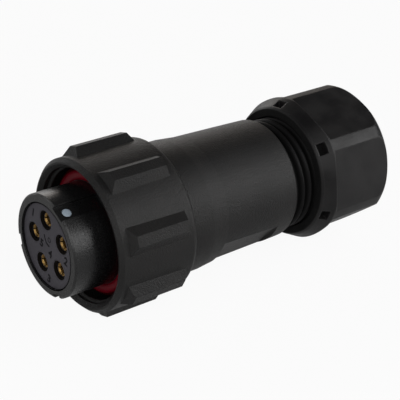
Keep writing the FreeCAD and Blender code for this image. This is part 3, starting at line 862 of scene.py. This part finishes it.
@dataclass
class InsertFace:
    """Insulator face with its numbers and marks, and everything inside the shell.

    Sizes are in millimetres and angles in degrees.
    """

    frame: dict[str, Any]
    finishes: Finishes
    face: float = 0.4
    number_size: float = 2.2
    number_relief: float = 0.02
    number_weight: float = 0.07
    number_steps: int = 4
    up_angle: float = 11.0
    mark_place: tuple[float, float] = (1.5, 20.7)
    mark_radius: float = 0.5
    mark_line: float = 0.17
    # The rim fields place a thin dark ring on the barrel's end face at the bore's edge: painted
    # shadow of the gap round the insert.
    rim_shadow_face: float = 0.0
    rim_shadow_radius: float = 8.05
    rim_shadow_line: float = 0.2
    numbers: Sequence[FaceNumber] = (
        FaceNumber("1", 6.46, -46.8),
        FaceNumber("2", 5.79, 92.7),
        FaceNumber("3", 6.52, 176.7),
        FaceNumber("4", 1.48, 146.3),
        FaceNumber("5", 2.0, -100.9),
    )
    flow_line: Profile = (
        (1.05, 1.84), (0.97, 1.42), (0.82, 1.09), (0.43, 0.5), (-0.04, 0.25), (-0.56, 0.11))
    flow_width: float = 0.32
    contact_circle: float = 4.7
    first_contact: float = -10.7
    contact_count: int = 5
    # Profile of the dark funnel that paints the shadow inside each contact hole.
    throat_shade_profile: Profile = (
        (0.57, 1.77), (0.6, 1.72), (0.84, 1.42), (0.885, 1.36), (1.04, 1.34), (1.04, 1.41),
        (0.92, 1.42), (0.63, 1.77))
    throat_shade_sides: int = 40
    ring_sides: int = 96

    def build(self) -> None:
        """Dresses the insert and its contacts, and adds the numbers and marks, a painted shadow
        line round the barrel's rim and painted shade funnels in the contact mouths.
        """
        contacts = [name for name in self.frame["nodes"] if name.startswith("socket_contact")]
        clips = [name for name in self.frame["nodes"] if name.startswith("contact_clip")]
        dress(self.frame, ["front_insulator", "rear_insulator"], self.finishes.insulator)
        dress(self.frame, contacts, self.finishes.gold)
        dress(self.frame, clips, self.finishes.steel)
        dress(self.frame, ["wire_grommet"], self.finishes.rubber)
        dress(self.frame, ["insert_lock_ring"], self.finishes.housing)
        for number in self.numbers:
            self._number(number)
        gate = self._place(self.face, *self.mark_place)
        self._dark_ring("gate_mark", gate, self.mark_radius, self.mark_line)
        # Painted shadow: a dark line along the inner edge of the barrel's rim.
        rim = self._place(self.rim_shadow_face, 0.0, 0.0)
        self._dark_ring("painted_rim_shadow", rim, self.rim_shadow_radius, self.rim_shadow_line)
        self._flow_mark()
        for contact in range(self.contact_count):
            self._throat_shade(contact)

    def _place(self, x: float, radius: float, angle: float) -> Matrix:
        """Where a mark goes, seen from in front of the connector.

        Args:
            x: The place of the face that carries it.
            radius: Distance from the axis.
            angle: Angle about the axis from the top.

        Returns:
            The mark's matrix.
        """
        up = polar(0.0, 1.0, math.radians(self.up_angle))
        out = Vector((-1.0, 0.0, 0.0))
        spot = polar(x * MM, radius * MM, math.radians(angle))
        return placement(spot, up.cross(out), up, out)

    def _number(self, number: FaceNumber) -> None:
        """Writes one number as a thin raised character.

        Args:
            number: The text and its place.
        """
        name = f"contact_number_{number.text}"
        curve = bpy.data.curves.new(name, "FONT")
        curve.body = number.text
        curve.size = self.number_size * MM
        curve.extrude = self.number_relief * MM
        curve.offset = self.number_weight * MM
        curve.align_x = "CENTER"
        curve.align_y = "CENTER"
        curve.resolution_u = self.number_steps
        draft = add_object("number_draft", curve)
        bpy.context.view_layer.update()
        depsgraph = bpy.context.evaluated_depsgraph_get()
        mesh = bpy.data.meshes.new_from_object(draft.evaluated_get(depsgraph))
        bpy.data.objects.remove(draft)
        mesh.transform(self._place(self.face, number.radius, number.angle))
        piece = link_mesh(name, mesh, self.finishes.ink_and_shadow, smooth=False)
        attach(piece, "connector_body")
        LOG.info("added %s", name)

    def _dark_ring(self, name: str, place: Matrix, ring_radius: float, line: float) -> None:
        """A thin dark ring, used for the gate mark and for a painted shadow along the inner edge of
        the barrel's rim.

        Args:
            name: The piece's name.
            place: Where it goes.
            ring_radius: Its outer radius.
            line: The width of its line.
        """
        form = bmesh.new()
        bmesh.ops.create_circle(
            form, cap_ends=False, segments=self.ring_sides, radius=ring_radius * MM)
        grown = bmesh.ops.extrude_edge_only(form, edges=list(form.edges))["geom"]
        inner = [item for item in grown if isinstance(item, bmesh.types.BMVert)]
        share = 1.0 - line / ring_radius
        bmesh.ops.scale(form, vec=Vector((share, share, 1.0)), verts=inner)
        bmesh.ops.solidify(form, geom=list(form.faces), thickness=self.number_relief * MM)
        piece = link_form(name, form, self.finishes.ink_and_shadow, smooth=False)
        # Moved last: the faces are turned outwards while the ring is still flat.
        piece.data.transform(place)
        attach(piece, "connector_body")
        LOG.info("added %s", name)

    def _flow_mark(self) -> None:
        """A curved line beside the gate ring, as a thin raised strip."""
        form = bmesh.new()
        points = [Vector((0.0, y, z)) for y, z in self.flow_line]
        front, back = self.face - self.number_relief, self.face + self.number_relief
        rows = []
        for before, point, after in zip(points[:1] + points, points, points[1:] + points[-1:]):
            along = (after - before).normalized()
            side = Vector((0.0, -along.z, along.y)) * (self.flow_width / 2.0)
            rows.append([form.verts.new((Vector((x, 0.0, 0.0)) + point + side * way) * MM)
                         for x, way in ((front, -1.0), (front, 1.0), (back, 1.0), (back, -1.0))])
        bridge(form, rows)
        cap_ends(form, rows)
        piece = link_form("flow_mark", form, self.finishes.ink_and_shadow, smooth=False)
        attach(piece, "connector_body")
        LOG.info("added flow_mark")

    def _throat_shade(self, contact: int) -> None:
        """Lines one contact's mouth with a thin dark funnel: painted shade for the shadow inside
        the hole.

        Args:
            contact: Which contact, counted from the first round the circle.
        """
        name = f"contact_throat_shade_{contact + 1}"
        angle = math.radians(self.first_contact) + FULL_TURN * contact / self.contact_count
        centre = polar(0.0, self.contact_circle * MM, angle)
        form = turned_form(self.throat_shade_profile, self.throat_shade_sides, centre)
        piece = link_form(name, form, self.finishes.throat_shade)
        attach(piece, "connector_body")
        LOG.info("added %s", name)


@dataclass
class Coupling:
    """Ribbed ring with its inner ridges, the seal and what carries the ring, in millimetres."""

    frame: dict[str, Any]
    finishes: Finishes
    ridges: ThreadForm = ThreadForm(
        start=6.7, end=9.3, root=12.5, crest=12.0, pitch=1.1, crest_share=0.35, foot_share=0.9)
    seal_face: float = 9.3
    lip_radius: float = 10.4
    lip_half: float = 0.88
    lip_rise: float = 0.34
    lip_sunk: float = 0.12
    lip_arc: int = 14
    lip_sides: int = 128

    def build(self) -> None:
        """Dresses the ring, seal and small parts, and adds the ridges and the seal's lip."""
        dress(self.frame, ["coupling_ring"], self.finishes.housing)
        # The seal takes the darkened silicone: painted shade.
        dress(self.frame, ["interface_seal"], self.finishes.shaded_seal)
        dress(self.frame, ["slip_ring"], self.finishes.wax_plastic)
        dress(self.frame, ["retaining_ring"], self.finishes.steel)
        piece = self.ridges.build("coupling_ridges", self.finishes.housing)
        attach(piece, "coupling")
        LOG.info("added coupling_ridges")
        self._seal_lip()

    def _seal_lip(self) -> None:
        """The rounded lip on the front of the seal."""
        profile = []
        for point in range(self.lip_arc + 1):
            turn = math.pi * point / self.lip_arc
            rise = (self.lip_rise + self.lip_sunk) * math.sin(turn)
            profile.append((self.seal_face + self.lip_sunk - rise,
                            self.lip_radius - self.lip_half * math.cos(turn)))
        form = turned_form(profile, self.lip_sides, Vector((0.0, 0.0, 0.0)))
        piece = link_form("seal_lip", form, self.finishes.lip)
        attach(piece, "connector_body")
        LOG.info("added seal_lip")


@dataclass
class Housing:
    """Tapered rear housing with the gland's male thread, in millimetres."""

    frame: dict[str, Any]
    finishes: Finishes
    thread: ThreadForm = ThreadForm(
        start=47.4, end=58.95, root=10.2, crest=10.95, pitch=1.75, crest_share=0.2,
        foot_share=0.72, full_root=True)

    def build(self) -> None:
        """Dresses the housing and its gasket and winds the thread."""
        dress(self.frame, ["rear_housing"], self.finishes.housing)
        dress(self.frame, ["housing_gasket"], self.finishes.rubber)
        piece = self.thread.build("gland_thread", self.finishes.thread)
        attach(piece, "connector_body")
        LOG.info("added gland_thread")


@dataclass
class Gland:
    """Gland nut, clamp and cable seal."""

    frame: dict[str, Any]
    finishes: Finishes

    def build(self) -> None:
        """Dresses the gland's pieces."""
        dress(self.frame, ["gland_nut"], self.finishes.nut)
        dress(self.frame, ["clamp_cage"], self.finishes.housing)
        dress(self.frame, ["thrust_washer"], self.finishes.wax_plastic)
        dress(self.frame, ["cable_seal"], self.finishes.rubber)


# Studio

@dataclass(frozen=True)
class Softbox:
    """A rectangular studio lamp, in millimetres and watts."""

    name: str
    place: tuple[float, float, float]
    aim: tuple[float, float, float]
    width: float
    height: float
    power: float
    colour: tuple[float, float, float] = (1.0, 1.0, 1.0)

    def build(self) -> None:
        """Puts the lamp in the scene, facing its aim."""
        lamp = bpy.data.lights.new(self.name, "AREA")
        lamp.shape = "RECTANGLE"
        lamp.size = self.width * MM
        lamp.size_y = self.height * MM
        lamp.energy = self.power
        lamp.color = self.colour
        holder = add_object(self.name, lamp)
        place, aim = Vector(self.place) * MM, Vector(self.aim) * MM
        holder.location = place
        holder.rotation_euler = (aim - place).to_track_quat("-Z", "Y").to_euler()


class Glow(Enum):
    """The shader that shows plain white on a surface or in the world."""

    SURFACE = "ShaderNodeEmission"
    WORLD = "ShaderNodeBackground"


@dataclass
class Studio:
    """Floor, lamps, surroundings and camera.

    The floor's level is in metres, as the frame's box gives it, and other sizes in millimetres.
    """

    floor_level: float
    floor_size: float = 900.0
    floor_tone: float = 0.7
    floor_roughness: float = 0.9
    floor_white: float = 0.93
    floor_gloss: float = 0.06
    surroundings: float = 0.1
    surroundings_white: float = 0.972
    surroundings_gloss: float = 0.02
    camera_place: tuple[float, float, float] = (-93.35, -153.4, 106.83)
    camera_ahead: tuple[float, float, float] = (0.5618, 0.6773, -0.4749)
    camera_right: tuple[float, float, float] = (0.7865, -0.6153, 0.0528)
    camera_nearest: float = 5.0
    focal_share: float = 3.002
    sensor: float = 36.0
    lamps: Sequence[Softbox] = (
        Softbox("front_panel", (330, -320, 165), (35, 0, 0), 360, 300, 1.15),
        Softbox("camera_panel", (-120, -330, 260), (35, 0, 0), 300, 300, 0.7),
        Softbox("right_panel", (420, -180, 300), (35, 0, 0), 300, 300, 0.5),
        Softbox("left_panel", (-360, -150, 130), (10, 0, 0), 240, 240, 0.5),
        Softbox("left_back_panel", (-260, 300, 190), (-90, 110, -15), 220, 220, 0.25),
        Softbox("back_panel", (120, 380, 90), (35, 0, 0), 400, 160, 0.3),
        Softbox("back_strip", (240, 320, 140), (35, 0, 0), 300, 100, 0.1, (1.0, 0.86, 0.74)),
    )

    def build(self) -> None:
        """Sets the whole studio up."""
        self._floor()
        self._surroundings()
        for lamp in self.lamps:
            lamp.build()
        self._camera()
        bpy.context.scene.view_settings.view_transform = "Standard"

    @staticmethod
    def _white_where_seen(tree: bpy.types.NodeTree, glow: Glow, plain: bpy.types.NodeSocket,
                          direct: float, gloss: float) -> bpy.types.NodeSocket:
        """Mixes plain white in where the camera looks, and where gloss or glass does.

        Args:
            tree: The node tree to build in.
            glow: The kind of shader that shows the white.
            plain: The shader output that every other ray meets.
            direct: Share of white that the camera sees.
            gloss: Share of white that a glossy surface shows.

        Returns:
            The mixed shader output.
        """
        white = tree.nodes.new(glow.value)
        white.inputs["Color"].default_value = WHITE
        white.inputs["Strength"].default_value = 1.0
        path = tree.nodes.new("ShaderNodeLightPath")
        share: float | bpy.types.NodeSocket = 0.0
        for ray, amount in (("Is Camera Ray", direct), ("Is Glossy Ray", gloss),
                            ("Is Transmission Ray", direct)):
            share = add_math(tree, "MULTIPLY_ADD", path.outputs[ray], amount, share)
        mix = tree.nodes.new("ShaderNodeMixShader")
        for socket, source in zip(mix.inputs, (share, plain, white.outputs[0])):
            tree.links.new(source, socket)
        return mix.outputs[0]

    def _floor(self) -> None:
        """A large pale floor under the connector."""
        mesh = bpy.data.meshes.new("floor")
        half = self.floor_size * MM / 2.0
        corners = [(-half, -half), (half, -half), (half, half), (-half, half)]
        mesh.from_pydata([(x, y, self.floor_level) for x, y in corners], [], [(0, 1, 2, 3)])
        material, shader = new_material("pale_floor")
        tone = self.floor_tone
        shader.inputs["Base Color"].default_value = (tone, tone, tone, 1.0)
        shader.inputs["Roughness"].default_value = self.floor_roughness
        tree = material.node_tree
        mixed = self._white_where_seen(
            tree, Glow.SURFACE, shader.outputs["BSDF"], self.floor_white, self.floor_gloss)
        tree.links.new(mixed, tree.nodes["Material Output"].inputs["Surface"])
        floor = link_mesh("floor", mesh, material, smooth=False)
        floor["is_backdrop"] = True

    def _surroundings(self) -> None:
        """Even grey light from all round, white where the camera sees it."""
        world = bpy.data.worlds.new("studio")
        bpy.context.scene.world = world
        world.use_nodes = True
        tree = world.node_tree
        plain = tree.nodes["Background"]
        plain.inputs["Color"].default_value = WHITE
        plain.inputs["Strength"].default_value = self.surroundings
        mixed = self._white_where_seen(
            tree, Glow.WORLD, plain.outputs[0], self.surroundings_white, self.surroundings_gloss)
        tree.links.new(mixed, tree.nodes["World Output"].inputs["Surface"])

    def _camera(self) -> None:
        """The photograph's viewpoint."""
        lens = bpy.data.cameras.new("photo_camera")
        lens.sensor_width = self.sensor
        lens.lens = self.sensor * self.focal_share
        lens.clip_start = self.camera_nearest * MM
        holder = add_object("photo_camera", lens)
        ahead = Vector(self.camera_ahead).normalized()
        right = Vector(self.camera_right)
        right = (right - ahead * right.dot(ahead)).normalized()
        spot = Vector(self.camera_place) * MM
        holder.matrix_world = placement(spot, right, right.cross(ahead), -ahead)
        bpy.context.scene.camera = holder


# Whole scene

def main() -> None:
    """Builds every sub-assembly round the frame, in order from the mating face."""
    logging.basicConfig(level=logging.INFO, format="%(name)s: %(message)s")
    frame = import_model()
    frame_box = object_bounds()
    finishes = Finishes()
    lowest = frame_box[0][2]
    sub_assemblies = (
        PlugFront(frame, finishes),
        InsertFace(frame, finishes),
        Coupling(frame, finishes),
        Housing(frame, finishes),
        Gland(frame, finishes),
    )
    for sub_assembly in sub_assemblies:
        sub_assembly.build()
        LOG.info("built %s", type(sub_assembly).__name__)
    Studio(floor_level=lowest).build()


if __name__ == "__main__":
    main()
